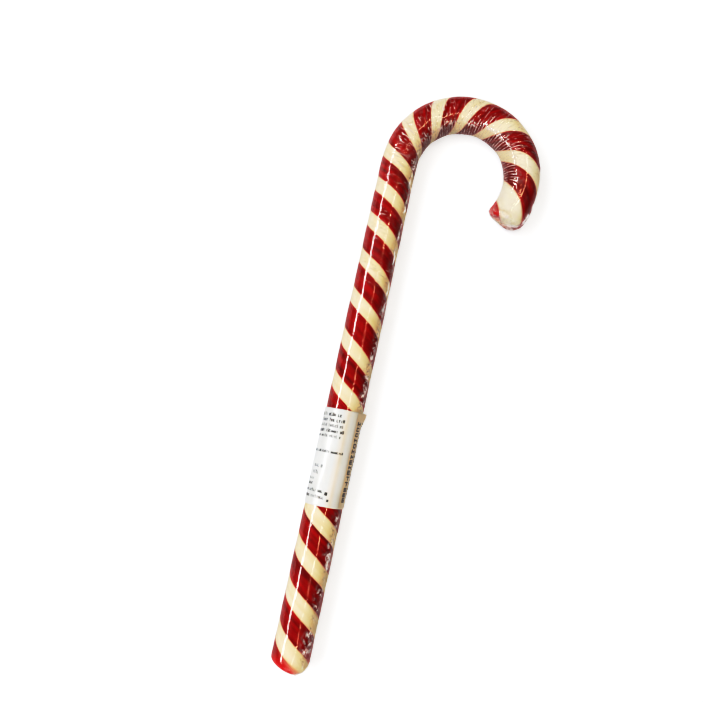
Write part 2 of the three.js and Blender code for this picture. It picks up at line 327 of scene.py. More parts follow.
def noiseOn(tree, place, scale, detail, stretch):
    mapping = tree.nodes.new("ShaderNodeMapping")
    mapping.inputs["Scale"].default_value = stretch
    noise = tree.nodes.new("ShaderNodeTexNoise")
    setSockets(noise, Scale=scale, Detail=detail, Roughness=0.55)
    feed(tree, place, mapping, "Vector")
    feed(tree, mapping.outputs["Vector"], noise, "Vector")
    return noise.outputs["Fac"]


def colourRamp(tree, source, stops):
    ramp = tree.nodes.new("ShaderNodeValToRGB")
    ramp.color_ramp.elements[0].position = stops[0][0]
    ramp.color_ramp.elements[0].color = (*stops[0][1], 1)
    ramp.color_ramp.elements[1].position = stops[-1][0]
    ramp.color_ramp.elements[1].color = (*stops[-1][1], 1)
    for position, colour in stops[1:-1]:
        ramp.color_ramp.elements.new(position).color = (*colour, 1)
    feed(tree, source, ramp, "Fac")
    return ramp.outputs["Color"]


def levelRamp(tree, source, *stops):
    # the same in greys, from pairs of a place and a level
    return colourRamp(tree, source, [(position, (level,) * 3) for position, level in stops])


def joined(tree, operation, *parts):
    # works on its parts two at a time, from the first
    result = parts[0]
    for part in parts[1:]:
        node = tree.nodes.new("ShaderNodeMath")
        node.operation = operation
        feed(tree, result, node, 0)
        feed(tree, part, node, 1)
        result = node.outputs[0]
    return result


def times(tree, *parts):
    return joined(tree, "MULTIPLY", *parts)


def plus(tree, *parts):
    return joined(tree, "ADD", *parts)


def mixColours(tree, share, first, second, blend="MIX"):
    mix = tree.nodes.new("ShaderNodeMix")
    mix.data_type = "RGBA"
    mix.blend_type = blend
    for socket, part in ((0, share), (6, first), (7, second)):
        feed(tree, part, mix, socket)
    return mix.outputs[2]


def mixShaders(tree, share, first, second):
    mix = tree.nodes.new("ShaderNodeMixShader")
    for socket, part in enumerate((share, first, second)):
        feed(tree, part, mix, socket)
    return mix.outputs["Shader"]


def bumpOn(tree, height, strength, distance):
    bump = tree.nodes.new("ShaderNodeBump")
    setSockets(bump, Strength=strength, Distance=distance)
    feed(tree, height, bump, "Height")
    return bump.outputs["Normal"]


def softShader(tree, colour, relief, body):
    # a dense material that light soaks into a little
    shader = tree.nodes.new("ShaderNodeBsdfPrincipled")
    setSockets(shader, Roughness=body["roughness"], IOR=body["index"], Specular_IOR_Level=body["sheen"],
               Subsurface_Weight=body["soak"], Subsurface_Radius=body["scatter"], Subsurface_Scale=mm)
    feed(tree, colour, shader, "Base Color")
    feed(tree, bumpOn(tree, relief, body["relief"], body["reliefDepth"] * mm), shader, "Normal")
    finishSurface(tree, shader.outputs["BSDF"])


# camera, looking down at the cane from above its stem

cameraSet = {
    "place": (8.52, 80.51, 260.33),  # mm from the axis at the foot
    "tilt": (8.178, 0.628, 12.314),
    "lens": 35.846,
}


def addCamera():
    camera = bpy.data.objects.new("camera", bpy.data.cameras.new("camera"))
    x, y, z = cameraSet["place"]
    camera.location = Vector((axisX + x, footY + y, stick["axisHeight"] + z)) * mm
    camera.rotation_euler = [math.radians(turn) for turn in cameraSet["tilt"]]
    camera.data.lens = cameraSet["lens"]
    camera.data.sensor_width = 36
    camera.data.clip_start = 0.01
    bpy.context.scene.collection.objects.link(camera)
    bpy.context.scene.camera = camera


addCamera()
print("camera set")


# candy: the cream stick and its two red bands

candyLook = {
    "creamLight": (0.85, 0.715, 0.50),
    "creamDeep": (0.80, 0.635, 0.40),
    "creamPale": (0.87, 0.82, 0.67),
    "paleHook": (185, 215, 0.3),  # the cream turns paler round the hook, and again towards its tip
    "paleTip": (252, 272, 0.45),
    "mottle": (260.0, 3.0, (1.0, 0.22, 1.0)),  # noises have a scale, a detail and a stretch
    "grain": (900.0, 2.0, (1.0, 0.4, 1.0)),
    "streaks": (420.0, 4.0, (1.0, 0.16, 1.0)),
    "cream": {"roughness": 0.45, "index": 1.45, "sheen": 0.06, "soak": 0.35, "scatter": (1.3, 0.9, 0.5),
              "relief": 0.12, "reliefDepth": 0.2},  # scatter and reliefDepth in mm
    "fringe": (0.78, 0.34, 0.24),
    "fringeWidth": 0.5,
    "fringeAtFoot": 1.8,  # how much wider the fringe grows there
    "footFringe": (1.5, 8.0),
    "redLight": (0.38, 0.003, 0.004),
    "redDeep": (0.17, 0.001, 0.002),
    "redPaintedGlow": (0.64, 0.014, 0.017),  # painted glow: the red is painted lighter at the rounded foot and the wedge at the tip, for the light that passes through them
    "redEdge": (0.82, 0.42, 0.30),  # where the red runs thin over the cream at the foot
    # spans and strengths of that painted glow, at the foot and back from the tip
    "paintedGlowFoot": (2.0, 8.0),
    "paintedGlowFootShare": 0.9,
    "paintedGlowWedge": (12.0, 8.0),
    "paintedGlowWedgeShare": 0.6,
    "edgeWidth": 1.3,
    "red": {"roughness": 0.3, "index": 1.5, "sheen": 0.06, "soak": 0.2, "scatter": (0.8, 0.12, 0.10),
            "relief": 0.15, "reliefDepth": 0.2},
    "bandDepth": 1.2,
    "crown": 0.07,  # how far a red band stands proud in its middle
    "sag": 0.03,
    "wallOverlap": 0.004,
    "redArc": 0.58,  # share of half a turn that a band covers, near enough for its edges
    "grooveColumns": 7,
    "creamColumns": 22,
    "bandColumns": 18,
    "faceShares": (0.35, 0.7),
    "edgeSteps": 6,
    "blendSteps": 10,
    "stemStep": 0.8,
    "hookStep": 0.7,
    "settleRounds": 60,
    "floorGap": 0.08,
    "swell": 0.05,
}


def candyCream():
    look = candyLook
    material, tree = newMaterial("candyCream")
    place = stored(tree, "pulled", "Vector")
    mottle = noiseOn(tree, place, *look["mottle"])
    tones = colourRamp(tree, mottle, ((0.32, look["creamDeep"]), (0.62, look["creamLight"])))
    paler = mixColours(tree, stored(tree, "pale"), tones, (*look["creamPale"], 1))
    stained = mixColours(tree, stored(tree, "fringe"), paler, (*look["fringe"], 1))
    softShader(tree, stained, noiseOn(tree, place, *look["grain"]), look["cream"])
    return material


def candyRed():
    look = candyLook
    material, tree = newMaterial("candyRed")
    streaks = noiseOn(tree, stored(tree, "pulled", "Vector"), *look["streaks"])
    tones = colourRamp(tree, streaks, ((0.30, look["redDeep"]), (0.60, look["redLight"])))
    # painted glow where light passes through the rounded foot and the tip's wedge
    lit = mixColours(tree, stored(tree, "thinPaintedLight"), tones, (*look["redPaintedGlow"], 1))
    edged = mixColours(tree, stored(tree, "edge"), lit, (*look["redEdge"], 1))
    softShader(tree, edged, streaks, look["red"])
    return material


def swell(at):
    # the stick is rolled by hand, so it is a little thicker here and thinner there
    return candyLook["swell"] * waver(3, at, 21.0)


def borderAngles(at, overlap):
    # the four borders of the two red bands, and the first one again a full turn on
    leftOne, rightOne = redHalf(at, 0, -1) - overlap, redHalf(at, 0, 1) - overlap
    leftTwo, rightTwo = redHalf(at, math.pi, -1) - overlap, redHalf(at, math.pi, 1) - overlap
    return np.stack((-leftOne, rightOne, math.pi - leftTwo, math.pi + rightTwo, 2 * math.pi - leftOne))


def twistLoops(rows, stretch, share, depth, rise, overlap):
    # points that keep their place between the band borders while the bands wind round
    columns = np.arange(len(share))
    loops, places = [], []
    for row in rows:
        shrink = row[1] if row[0] == "face" else 1.0
        angle = share * 0
        for settling in range(candyLook["settleRounds"]):
            at, out = crossRow(row, angle, depth * shrink, 0.0)
            at = at + angle * 0
            borders = borderAngles(at, overlap)
            turn = borders[stretch, columns] * (1 - share) + borders[stretch + 1, columns] * share
            target = bandAngle(at) + turn
            if row[0] == "body":
                angle = target
                break
            angle = angle + (target - angle) / 2
        at, out = crossRow(row, angle, depth * shrink, rise + swell(at))
        loops.append(pointsOn(at + angle * 0, angle, out, candyLook["floorGap"]))
        places.append(np.stack((turn * stick["radius"] * mm, (at + angle * 0) * mm, angle * 0), -1))
    return loops, places


def candyRows(faceShares):
    look = candyLook
    foot = endRows(footEnd, faceShares, look["edgeSteps"], look["blendSteps"])
    hook = endRows(hookEnd, faceShares, look["edgeSteps"], look["blendSteps"])
    return foot + bodyRows(look["stemStep"], look["hookStep"]) + hook[::-1]


def creamStick(material):
    look = candyLook
    grooveColumns, creamColumns = look["grooveColumns"], look["creamColumns"]
    share = np.tile(np.concatenate((np.linspace(0, 1, grooveColumns), np.linspace(0, 1, creamColumns))), 2)
    stretch = np.repeat((0, 1, 2, 3), (grooveColumns, creamColumns) * 2)
    raised = stretch % 2 == 1
    depth = np.where(raised, 0.0, look["bandDepth"])
    rise = np.where(raised, -look["sag"] * np.sin(np.pi * share), 0.0)
    rows = candyRows(look["faceShares"])
    loops, places = twistLoops(rows, stretch, share, depth, rise, look["wallOverlap"])
    points, faces = closedGrid(loops)
    piece = makeMesh("creamStick", points, faces, material)
    middles = np.zeros((2, 3))  # the two points that close the ends
    addNumbers(piece, "pulled", np.concatenate(places + [middles]), "FLOAT_VECTOR")
    fromBorder = np.where(raised, np.minimum(share, 1 - share), 0)
    away = fromBorder * (1 - look["redArc"]) * math.pi * stick["radius"]
    at = np.stack(places)[:, :, 1] / mm
    width = look["fringeWidth"] * (1 + look["fringeAtFoot"] * nearFoot(at, look["footFringe"]))
    hookFrom, hookTo, hookPale = look["paleHook"]
    tipFrom, tipTo, tipPale = look["paleTip"]
    pale = hookPale * smooth(at, hookFrom, hookTo) + tipPale * smooth(at, tipFrom, tipTo)
    for name, values in (("fringe", hill(away, width)), ("pale", pale)):
        addNumbers(piece, name, np.concatenate((values.ravel(), middles[:, 0])))
    return piece


def redBand(name, first, material):
    look = candyLook
    half = look["bandColumns"]
    columns = 2 * half
    share = np.linspace(0, 1, half)
    bothWays = np.concatenate((share, share[::-1]))  # over the top, and back along the underside
    crown = look["crown"] * np.sin(np.pi * share) ** 0.6
    depth = np.repeat((0.0, look["bandDepth"]), half)
    rise = np.concatenate((crown, crown * 0))
    loops, places = twistLoops(candyRows(()), np.full(columns, first), bothWays, depth, rise, 0.0)
    faces = gridFaces(len(loops), columns) + endCaps(len(loops), columns)
    piece = makeMesh(name, np.concatenate(loops), faces, material)
    addNumbers(piece, "pulled", np.concatenate(places), "FLOAT_VECTOR")
    at = np.concatenate(places)[:, 1] / mm
    foot = nearFoot(at, look["paintedGlowFoot"])
    # painted glow: at the foot, and on the first band's wedge near the tip
    wedgeGlow = look["paintedGlowWedgeShare"] * nearTip(at, look["paintedGlowWedge"]) if first == 0 else at * 0
    addNumbers(piece, "thinPaintedLight", np.maximum(look["paintedGlowFootShare"] * foot, wedgeGlow))
    away = np.minimum(bothWays, 1 - bothWays) * look["redArc"] * math.pi * stick["radius"]
    addNumbers(piece, "edge", hill(np.tile(away, len(loops)), look["edgeWidth"]) * foot)
    return piece


creamPiece = creamStick(candyCream())
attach(creamPiece, "root")
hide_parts("candy_stick")
redLook = candyRed()
redOne = redBand("redBandOne", 0, redLook)
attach(redOne, "root")
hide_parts("red_stripe_1")
redTwo = redBand("redBandTwo", 2, redLook)
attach(redTwo, "root")
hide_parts("red_stripe_2")
print("candy made")


# shrink film: one thin closed skin with its seam, pleats and puckered ends

filmSet = {
    "gap": 0.06,
    "slack": 0.03,
    "slackSpan": (-2, 22),
    "seamAt": (0.0, 12.0, 30.0, 45.0, 110.0, 140.0, 175.0, 215.0, 243.0, 262.0, 275.0, 288.5),
    "seamAngle": (36.0, 45.0, 52.0, 53.0, 55.0, 60.0, 57.0, 52.0, 45.0, 33.0, 10.0, 0.0),
    "seamWidth": 1.6,
    "seamRise": 0.12,
    "crinkleAt": (0, 6, 12, 20, 28, 36, 44, 50, 60, 92, 99, 122, 134, 172, 190, 255, 266, 280),
    "crinkle": (0.7, 0.5, 1.0, 0.6, 0.8, 0.5, 1.0, 0.9, 0.1, 0.1, 1.0, 0.9, 0.3, 0.2, 0.4, 0.5, 0.15, 0.1),
    "crinkleHeight": 0.12,
    "crumpleSlope": 0.35,
    # crumples: how white their painted glints are, how glossy they are, and how dark their painted shade is
    "crumplePaintedGlint": 0.8,
    "crumpleGlint": 0.6,
    "lapGlint": 0.75,
    "crumpleShade": 0.3,
    "facetScale": 1.0,
    "ripple": 0.02,
    "baseShine": 0.025,
    "layerShine": 0.02,
    "rimShine": 0.3,
    "lean": 0.2,  # how far the folds lean away from straight round
    "folds": (1.0, 1.0, (0.22, 0.22, 1.15)),  # noises again, on places in mm
    "sparse": (1.0, 1.0, (0.42, 0.42, 0.6)),
    "pieces": (1.0, 1.0, (0.34, 0.34, 0.75)),
    "scratches": (1.0, 3.0, (2.6, 2.6, 1.4)),
    "ripples": (1.1, 2.0, (0.5, 0.5, 0.5)),
    "pleatPitch": 1.4,
    "pleatRelief": 0.05,
    "pleatHeight": 0.12,
    # painted glints on the pleat crests and painted shade between them
    "pleatPaintedGlint": 0.95,
    "pleatShade": 0.66,
    "crestPower": 14.0,
    "glintPower": 16.0,
    "thinGlint": 0.5,
    "streakHeight": 0.06,
    "streakAt": (130, 150, 175, 200, 212, 258, 268),
    "streakShare": (0, 0.4, 0.4, 0.6, 1, 1, 0.1),
    # painted glints on the streaks and painted shade beside them
    "streakPaintedGlint": 0.95,
    "streakShade": 0.3,
    # painted glints along the seam, and the most painted glint and painted shade that the film takes
    "linePaintedGlint": 0.65,
    "mostPaintedGlint": 0.95,
    "mostDark": 0.8,
    "roughness": 0.05,
    "glossTint": (1.0, 0.98, 0.95),
    "clearTint": (0.985, 0.98, 0.975),
    # colours of the painted shade and of the painted glints
    "shadeTint": (0.42, 0.30, 0.25),
    "glintPaintTint": (1.0, 0.86, 0.84),
    "puckerCount": 17,
    "footPucker": (1.5, 8.0),
    "footPuckerHeight": 0.08,
    "tipPucker": (9.0, 1.5),
    "tipPuckerHeight": 0.26,
    "finHeight": 1.15,
    "finMiddle": 0.62,  # radians round the rim from the stick's side, as is its width
    "finWidth": 0.12,
    "finOuter": (math.radians(-125), 0.7, 1.5),
    "finUnder": (math.radians(160), 0.4, 1.1),
    "columns": 120,
    "faceShares": (0.12, 0.28, 0.44, 0.6, 0.76, 0.9),
    "footSteps": (8, 20),
    "tipSteps": (12, 36),
    "floorGap": 0.02,
    "stemStep": 0.62,
    "hookStep": 0.23,
    # where the wrinkles lie: spans in mm along the stick, sides and their middles in radians round it
    "hookSpan": (-4, 16),
    "raggedFine": (0.9, 0.9),  # height and pitch
    "raggedCoarse": (0.8, 3.0),
    "pleatEdge": (-0.5, 0.4),
    "pleatMiddle": math.radians(100),
    "pleatFade": (0.9, 1.4),
    "pleatStop": (268, 276),
    "pleatStopShare": 0.85,
    "pleatOnCream": 0.55,
    "streakSide": (0.12, 0.4, 1.0),
    "streakAside": 0.15,
    "streakBetween": 0.3,
    "crumpleWidth": 1.4,
    "crumpleStray": 0.8,
    "crumpleLoss": 0.7,  # under the pleats
    "crumpleOnCream": 0.3,
    "footCrumple": (0.8, 2.6),
    "tipCrumple": (5.5, 1.5),
    "outerSide": (math.radians(-140), 0.9, 1.6),
    "lineWidth": 0.17,
    "lineOnStem": 0.35,
    "lineStart": (128, 140),
    "lineStop": (262, 270),
    "edgeWidth": 0.27,
    "edgeStray": 0.75,
    "edgeStart": (128, 142),
    "edgeHookLoss": 0.6,
    "edgeStop": (205, 225),
    "outsideMiddle": math.radians(-66),
    "outsideWidth": 0.11,
    "outsideStart": (248, 256),
    "outsideShare": 0.8,
    "scrapSpan": (4.5, 2.5),
    "limbMiddle": math.radians(-70),
    "limbWidth": 0.2,
    "limbSpan": (10, 7),
    # a fold near the hook's end, painted as a line of shade
    "foldBack": 3.4,
    "foldWidth": 0.3,
    "slantBack": 4.6,
    "slantWidth": 0.28,
    "slantShare": 0.6,
    "foldSide": (0.2, 0.35, 0.7),
    "foldShadeShare": 0.24,
}
labelSet = {
    "start": 59.1,
    "length": 35.2,
    "thickness": 0.1,
    "outerEdge": math.radians(45),
    "lap": math.radians(25),
    "riseAngle": math.radians(7),
}


def bandTurn(at, angle):
    # how far round the nearest red band's middle lies, and half that band's own width
    turn = (angle - bandAngle(at)) % math.pi
    return np.minimum(turn, math.pi - turn), plainHalf(at)


def bandRise(at, angle):
    # the skin of the candy under the film: proud red bands, cream a little lower between them
    turn, half = bandTurn(at, angle)
    red = candyLook["crown"] * np.clip(np.cos(turn / half * math.pi / 2), 0, 1) ** 0.6
    cream = -candyLook["sag"] * np.clip(np.sin((turn - half) / (math.pi / 2 - half) * math.pi / 2), 0, 1)
    return np.where(turn < half, red, cream)


def overRed(at, angle):
    # 1 above a red band, 0 above the cream
    turn, half = bandTurn(at, angle)
    return 1 - smooth(turn - half, -0.05, 0.08)


def bareStem(at):
    # 0 under the label, 1 where the film shows
    start, end = labelSet["start"], labelSet["start"] + labelSet["length"]
    return 1 - smooth(at, start - 1, start + 1) * (1 - smooth(at, end - 1, end + 1))


def seamOffset(at, angle):
    # millimetres round the stick from the middle of the seam
    seam = np.radians(np.interp(at, filmSet["seamAt"], filmSet["seamAngle"]))
    return angleFrom(angle, seam + 0.05 * waver(23, at, 6.0)) * stick["radius"]


def pleatsAt(at, angle, hook, ragged):
    # gathered across the inside of the hook, from the seam on
    look = filmSet
    inside = 1 - smooth(angleFrom(angle, look["pleatMiddle"]), *look["pleatFade"])
    fading = 1 - look["pleatStopShare"] * smooth(at, *look["pleatStop"])
    return hook * smooth(ragged, *look["pleatEdge"]) * inside * fading


def streaksAt(at, angle):
    look = filmSet
    patches = smooth(patchwork(28, at, angle, 4.0, 11), -0.35, 0.35)
    share = np.interp(at, look["streakAt"], look["streakShare"])
    share = share * atLeast(look["streakBetween"], patches)
    return share * atLeast(look["streakAside"], withinSide(angle, look["streakSide"]))


def seamCrumple(at, offset):
    look = filmSet
    width = look["crumpleWidth"] + look["crumpleStray"] * waver(34, at, 3.5)
    share = np.interp(at, look["crinkleAt"], look["crinkle"])
    return share * hill(offset, width) * bareStem(at)


def endCrumple(at, angle, outer):
    look = filmSet
    tip = nearTip(at, look["tipCrumple"]) * atLeast(0.15, outer)
    foot = nearFoot(at, look["footCrumple"]) * atLeast(0.35, smooth(angleFrom(angle, 0.3), 0.0, 0.8))
    return np.maximum(foot, tip)


def paintedGlintLines(at, angle, hook, ragged, outer):
    # painted glints: the seam's edge, with scraps and short lines close to the hook's end
    look = filmSet
    line = hill(ragged, look["lineWidth"]) * smooth(waver(37, at, 1.6), -0.4, 0.2)
    line = line * (hook + look["lineOnStem"] * (1 - hook) * smooth(at, *look["lineStart"]))
    line = line * (1 - smooth(at, *look["lineStop"]))
    scraps = smooth(patchwork(38, at, angle, 0.9, 40), 0.0, 0.25) * atLeast(0.25, outer)
    line = np.maximum(line, scraps * nearTip(at, look["scrapSpan"]))
    limb = hill(angleFrom(angle, look["limbMiddle"]), look["limbWidth"]) * nearTip(at, look["limbSpan"])
    return np.maximum(line, limb * smooth(patchwork(39, at, angle, 0.8, 30), -0.1, 0.2))


def brightEdges(at, angle, hook, offset):
    # the lap's loose edge is a bright broken line on the stem
    look = filmSet
    edge = hill(offset + look["edgeStray"] * waver(40, at, 1.4), look["edgeWidth"])
    edge = edge * smooth(waver(44, at, 2.2), -0.5, 0.0) * smooth(at, *look["edgeStart"])
    edge = edge * (1 - look["edgeHookLoss"] * hook) * (1 - smooth(at, *look["edgeStop"]))
    # another runs down the outside of the hook to its end
    outside = hill(angleFrom(angle, look["outsideMiddle"]), look["outsideWidth"])
    outside = outside * smooth(at, *look["outsideStart"]) * smooth(waver(45, at, 1.7), -0.7, 0.0)
    return np.maximum(edge, look["outsideShare"] * outside)


def crossingFoldShade(at, angle):
    # a fold painted as a line of shade, lying over the cream close to the hook's end
    look = filmSet
    back = stick["length"] - at
    across = hill(back - look["foldBack"] - 0.5 * np.cos(4 * angle), look["foldWidth"])
    slanted = look["slantShare"] * hill(back - look["slantBack"] + 1.5 * angle, look["slantWidth"])
    return look["foldShadeShare"] * (across + slanted) * withinSide(angle, look["foldSide"])


def wrinkleMasks(at, angle):
    # where each kind of wrinkle lies, from 0 to 1, by the name that the material reads
    look = filmSet
    hook = pastBend(at, look["hookSpan"])
    offset = seamOffset(at, angle)
    fineHeight, finePitch = look["raggedFine"]
    coarseHeight, coarsePitch = look["raggedCoarse"]
    ragged = offset + fineHeight * waver(32, at, finePitch) + coarseHeight * waver(33, at, coarsePitch)
    outer = withinSide(angle, look["outerSide"])
    red = overRed(at, angle)  # pleats and crumples show far less over the cream
    pleats = pleatsAt(at, angle, hook, ragged)
    crumple = seamCrumple(at, offset) * (1 - look["crumpleLoss"] * pleats)
    crumple = crumple * atLeast(look["crumpleOnCream"], red)
    return {
        "streaks": streaksAt(at, angle) * (1 - pleats),
        "pleats": pleats * atLeast(look["pleatOnCream"], red),
        "crumple": np.maximum(crumple, endCrumple(at, angle, outer)),
        "lapPaintedGlint": paintedGlintLines(at, angle, hook, ragged, outer),
        "foldShade": crossingFoldShade(at, angle),
        "lapEdge": brightEdges(at, angle, hook, offset),
    }


def filmRise(at, angle, masks):
    look = filmSet
    free = atLeast(0.2, bareStem(at))
    rise = look["gap"] + bandRise(at, angle) + swell(at)
    # slack: long shallow waves along the stem, shorter and deeper in the hook
    rise = rise + free * look["slack"] * (1 + patchwork(21, at, angle, 13.0, 9)) / 2
    deeper = free * pastBend(at, look["slackSpan"])
    rise = rise + deeper * look["slack"] * (1 + patchwork(22, at, angle, 4.0, 14))
    # the lapped seam and its crinkles
    offset, half = seamOffset(at, angle), look["seamWidth"] / 2
    lap = smooth(offset, -half - 0.15, -half + 0.1) * (1 - smooth(offset, half - 0.5, half + 0.3))
    rise = rise + look["seamRise"] * lap
    sharp = 1 - np.abs(patchwork(24, at, angle, 0.8, 50))
    coarse = 1 - np.abs(patchwork(25, at, angle, 1.7, 28))
    rise = rise + look["crinkleHeight"] * masks["crumple"] * (0.7 * sharp ** 3 + 0.9 * coarse ** 2)
    # pleats gathered across the inside of the hook
    phase = math.pi * at / look["pleatPitch"] + 2.0 * patchwork(26, at, angle, 2.5, 8)
    rise = rise + look["pleatRelief"] * masks["pleats"] * (1 + np.cos(phase))
    # puckers at both cut ends
    spokes = look["puckerCount"] * angle + 2.5 * patchwork(30, at, angle, 6.0, 7)
    pucker = (0.5 + 0.5 * np.cos(spokes)) * (0.7 + 0.3 * patchwork(31, at, angle, 2.0, 11))
    foot = look["footPuckerHeight"] * nearFoot(at, look["footPucker"])
    return rise + pucker * (foot + look["tipPuckerHeight"] * nearTip(at, look["tipPucker"]))


def endFin(angle):
    # the torn, crimped fin of film that stands round the hook's cut end
    look = filmSet
    outer, under = withinSide(angle, look["finOuter"]), withinSide(angle, look["finUnder"])
    reach = atLeast(0.12, np.maximum(outer, 0.7 * under))
    torn = 0.55 + 0.45 * patchwork(35, angle * 0 + 3.3, angle, 1, 46)
    torn = torn + 0.3 * patchwork(36, angle * 0, angle, 1, 19)
    return look["finHeight"] * reach * np.clip(torn, 0.1, 1.2)


def filmClear():
    look = filmSet
    material, tree = newMaterial("filmClear")
    place = stored(tree, "unrolled", "Vector")
    streakMask, pleatMask, crumpleMask = (stored(tree, name) for name in ("streaks", "pleats", "crumple"))
    # streaks: lens-shaped folds that lie round the stick, some of them with painted white glints
    folds = noiseOn(tree, place, *look["folds"])
    lenses = levelRamp(tree, folds, (0.42, 0), (0.485, 1), (0.515, 1), (0.58, 0))
    streaks = times(tree, lenses, streakMask)
    glints = levelRamp(tree, folds, (0.478, 0), (0.494, 1), (0.506, 1), (0.522, 0))
    chosen = levelRamp(tree, noiseOn(tree, place, *look["sparse"]), (0.46, 0), (0.54, 1))
    # pleats: close ribs along the inside of the hook, with painted glints on the crest and painted shade
    # between
    wave = tree.nodes.new("ShaderNodeTexWave")
    wave.wave_type = "BANDS"
    wave.bands_direction = "Z"
    setSockets(wave, Scale=math.pi / 10 / look["pleatPitch"], Distortion=2.2, Detail=1.5, Detail_Scale=0.4)
    feed(tree, place, wave, "Vector")
    ribs = wave.outputs["Fac"]
    pleats = times(tree, ribs, pleatMask)
    crests = joined(tree, "POWER", ribs, look["crestPower"])
    troughs = joined(tree, "SUBTRACT", 1.0, ribs)
    broken = plus(tree, times(tree, chosen, 0.7), 0.3)
    pleatPaintedGlint = times(tree, crests, broken, pleatMask, look["pleatPaintedGlint"])
    pleatDark = times(tree, troughs, pleatMask, look["pleatShade"])
    # the same ribs run on over the top of the hook, broken into short painted glints with painted shade
    # beside them
    short = levelRamp(tree, noiseOn(tree, place, *look["pieces"]), (0.55, 0), (0.60, 1))
    broad = times(tree, short, joined(tree, "POWER", ribs, look["glintPower"]))
    thinPaintedLight = times(tree, glints, chosen, look["thinGlint"])
    strong = joined(tree, "MINIMUM", times(tree, streakMask, 1.7), 1.0)
    streakPaintedGlint = times(tree, joined(tree, "MAXIMUM", broad, thinPaintedLight), strong, look["streakPaintedGlint"])
    streakDark = times(tree, short, troughs, strong, look["streakShade"])
    # crumple: small flat facets along the seam and round the ends, a few with painted white glints and more
    # gloss, others with painted shade
    facets = tree.nodes.new("ShaderNodeTexVoronoi")
    setSockets(facets, Scale=look["facetScale"], Randomness=1.0)
    feed(tree, place, facets, "Vector")
    crumple = times(tree, facets.outputs["Distance"], crumpleMask)
    facetPick = tree.nodes.new("ShaderNodeSeparateColor")
    feed(tree, facets.outputs["Color"], facetPick, "Color")
    bright = levelRamp(tree, facetPick.outputs[0], (0.50, 0), (0.66, 1))
    dull = levelRamp(tree, facetPick.outputs[1], (0.30, 1), (0.50, 0))
    torn = levelRamp(tree, noiseOn(tree, place, *look["scratches"]), (0.44, 0), (0.50, 1))
    sharp = joined(tree, "MINIMUM", times(tree, crumpleMask, 1.6), 1.0)
    flecks = times(tree, bright, torn, sharp)
    crumplePaintedGlint = times(tree, flecks, look["crumplePaintedGlint"])
    unpleated = joined(tree, "SUBTRACT", 1.0, pleatMask)
    crumpleGlint = times(tree, flecks, look["crumpleGlint"], unpleated)
    crumpleDark = times(tree, dull, sharp, look["crumpleShade"])
    # all reliefs together, in millimetres
    ripples = noiseOn(tree, place, *look["ripples"])
    height = plus(tree, times(tree, streaks, look["streakHeight"]), times(tree, pleats, look["pleatHeight"]),
                  times(tree, crumple, look["crumpleSlope"]), times(tree, ripples, look["ripple"]))
    normal = bumpOn(tree, height, 1.0, mm)
    # clear where it lies smooth, with painted shade in the folds, and glossier where it grazes or is layered
    dark = plus(tree, pleatDark, crumpleDark, streakDark, stored(tree, "foldShade"))
    dark = joined(tree, "MINIMUM", dark, look["mostDark"])
    tints = colourRamp(tree, dark, ((0.0, look["clearTint"]), (1.0, look["shadeTint"])))
    clear = tree.nodes.new("ShaderNodeBsdfTransparent")
    feed(tree, tints, clear, "Color")
    gloss = tree.nodes.new("ShaderNodeBsdfGlossy")
    setSockets(gloss, Roughness=look["roughness"], Color=(*look["glossTint"], 1))
    feed(tree, normal, gloss, "Normal")
    facing = tree.nodes.new("ShaderNodeLayerWeight")
    setSockets(facing, Blend=0.5)
    feed(tree, normal, facing, "Normal")
    grazing = joined(tree, "POWER", facing.outputs["Facing"], 5.0)
    wrinkled = plus(tree, streaks, pleatMask, crumpleMask)
    layers = plus(tree, times(tree, wrinkled, look["layerShine"]), look["baseShine"])
    lapGlint = times(tree, stored(tree, "lapEdge"), look["lapGlint"])
    shine = plus(tree, times(tree, grazing, look["rimShine"]), layers, lapGlint, crumpleGlint)
    skin = mixShaders(tree, shine, clear.outputs["BSDF"], gloss.outputs["BSDF"])
    # painted glints: a white diffuse layer over the streaks, pleat crests, crumples and seam lines
    paintedGlintShader = tree.nodes.new("ShaderNodeBsdfDiffuse")
    setSockets(paintedGlintShader, Color=(*look["glintPaintTint"], 1))
    linePaintedGlint = times(tree, stored(tree, "lapPaintedGlint"), look["linePaintedGlint"])
    white = plus(tree, streakPaintedGlint, pleatPaintedGlint, crumplePaintedGlint, linePaintedGlint)
    white = joined(tree, "MINIMUM", white, look["mostPaintedGlint"])
    finishSurface(tree, mixShaders(tree, white, skin, paintedGlintShader.outputs["BSDF"]))
    return material


